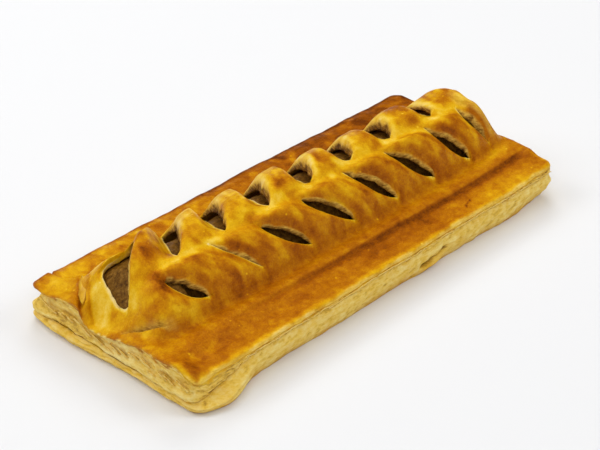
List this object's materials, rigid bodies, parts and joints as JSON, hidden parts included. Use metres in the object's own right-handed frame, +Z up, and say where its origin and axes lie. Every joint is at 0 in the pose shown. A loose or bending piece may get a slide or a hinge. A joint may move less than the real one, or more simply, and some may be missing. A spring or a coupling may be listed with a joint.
{
  "type": "sausage roll",
  "caption": "Baked puff pastry slice with a slanted lattice top over a log of sausage meat, lying on its flat base.",
  "frame": {"origin": "middle of the bounding box at its underside, on the surface the roll rests on", "axes": "X along the roll, from the open torn end towards the end with the raised last strip; Y across it, from the wide grooved border towards the narrow border; Z up"},
  "size_m": [0.1748, 0.0786, 0.0301],
  "materials": {
    "pale_crust": "pale baked puff pastry with fine flaky layers, matt",
    "golden_crust": "egg-washed puff pastry, golden to chestnut brown with pale cut edges, soft sheen",
    "sausage_meat": "cooked minced meat, brown-grey, slightly moist"
  },
  "bodies": {
    "root": {"pastry_base": "pale_crust", "pastry_lattice": "golden_crust", "sausage_filling": "sausage_meat"}
  },
  "joints": []
}
